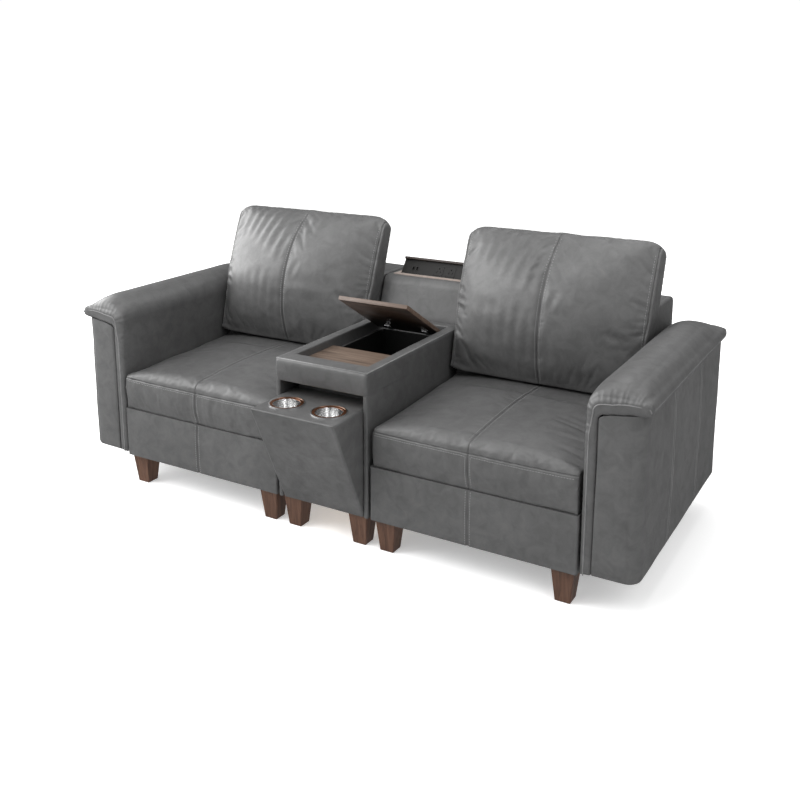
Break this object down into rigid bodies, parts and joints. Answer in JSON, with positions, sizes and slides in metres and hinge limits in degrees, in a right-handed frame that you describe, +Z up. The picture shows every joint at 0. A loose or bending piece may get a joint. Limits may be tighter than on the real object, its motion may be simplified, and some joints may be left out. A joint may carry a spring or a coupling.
{
  "type": "modular sofa with console",
  "caption": "Grey leather modular sofa: seats and padded arms round a console with tilt-out cup drawer, lidded storage and flip-up power unit.",
  "frame": {"origin": "on the floor, centred on the bounding box in plan, the open drawer counted", "axes": "+X along the sofa to a viewer's right, +Y to its back, +Z up"},
  "size_m": [1.975, 1.0006, 0.8927],
  "materials": {
    "leather_grey": "smooth, faintly mottled",
    "walnut": "satin lacquer",
    "plywood": "raw",
    "webbing": "woven",
    "dust_fabric": "matte",
    "bronze_ring": "satin",
    "polished_steel": "polished",
    "steel": "plated",
    "black_plastic": "matte",
    "trim": "satin"
  },
  "bodies": {
    "sofa": {"arm_plates": "steel", "cable_grommet": "black_plastic", "console_backrest": "leather_grey", "console_floor": "plywood", "console_left_side": "leather_grey", "console_leg_bolts": "steel", "console_legs": "walnut", "console_plates": "steel", "console_rear_panel": "leather_grey", "console_right_side": "leather_grey", "console_rim": "leather_grey", "drawer_pivot_pins": "steel", "drawer_stop_rail": "plywood", "left_arm_frame": "plywood", "left_arm_pad": "leather_grey", "left_arm_panel": "leather_grey", "left_back_cushion": "leather_grey", "left_backrest_cover": "leather_grey", "left_backrest_frame": "plywood", "left_base_cover": "leather_grey", "left_dust_cover": "dust_fabric", "left_seat_cushion": "leather_grey", "left_seat_frame": "plywood", "left_seat_legs": "walnut", "left_seat_webbing": "webbing", "lid_hinge_leaves": "steel", "lid_hinge_pins": "steel", "power_hinge_pins": "steel", "power_trim": "trim", "power_well": "black_plastic", "right_arm_frame": "plywood", "right_arm_pad": "leather_grey", "right_arm_panel": "leather_grey", "right_back_cushion": "leather_grey", "right_backrest_cover": "leather_grey", "right_backrest_frame": "plywood", "right_base_cover": "leather_grey", "right_dust_cover": "dust_fabric", "right_seat_cushion": "leather_grey", "right_seat_frame": "plywood", "right_seat_legs": "walnut", "right_seat_webbing": "webbing", "seat_leg_bolts": "steel", "storage_bin": "black_plastic", "tray_board": "walnut"},
    "cup_drawer": {"drawer_front": "leather_grey", "drawer_cheeks": "leather_grey", "drawer_rail": "plywood", "drawer_top": "leather_grey", "left_cup": "polished_steel", "right_cup": "polished_steel", "left_cup_ring": "bronze_ring", "right_cup_ring": "bronze_ring"},
    "lid": {"storage_lid": "walnut", "lid_hinge_arms": "steel"},
    "power_flap": {"power_lid": "walnut", "power_box": "black_plastic", "power_sockets": "black_plastic", "charging_ports": "black_plastic"}
  },
  "joints": [
    {"name": "drawer_tilt", "type": "hinge", "parent": "sofa", "child": "cup_drawer", "pos_m": [0, -0.33772, 0.111], "axis": [1, 0, 0], "range_deg": [-25, 0]},
    {"name": "lid_hinge", "type": "hinge", "parent": "sofa", "child": "lid", "pos_m": [0, 0.21628, 0.541], "axis": [-1, 0, 0], "range_deg": [-31, 59]},
    {"name": "power_flip", "type": "hinge", "parent": "sofa", "child": "power_flap", "pos_m": [0, 0.45428, 0.668], "axis": [-1, 0, 0], "range_deg": [-36, 0]}
  ]
}
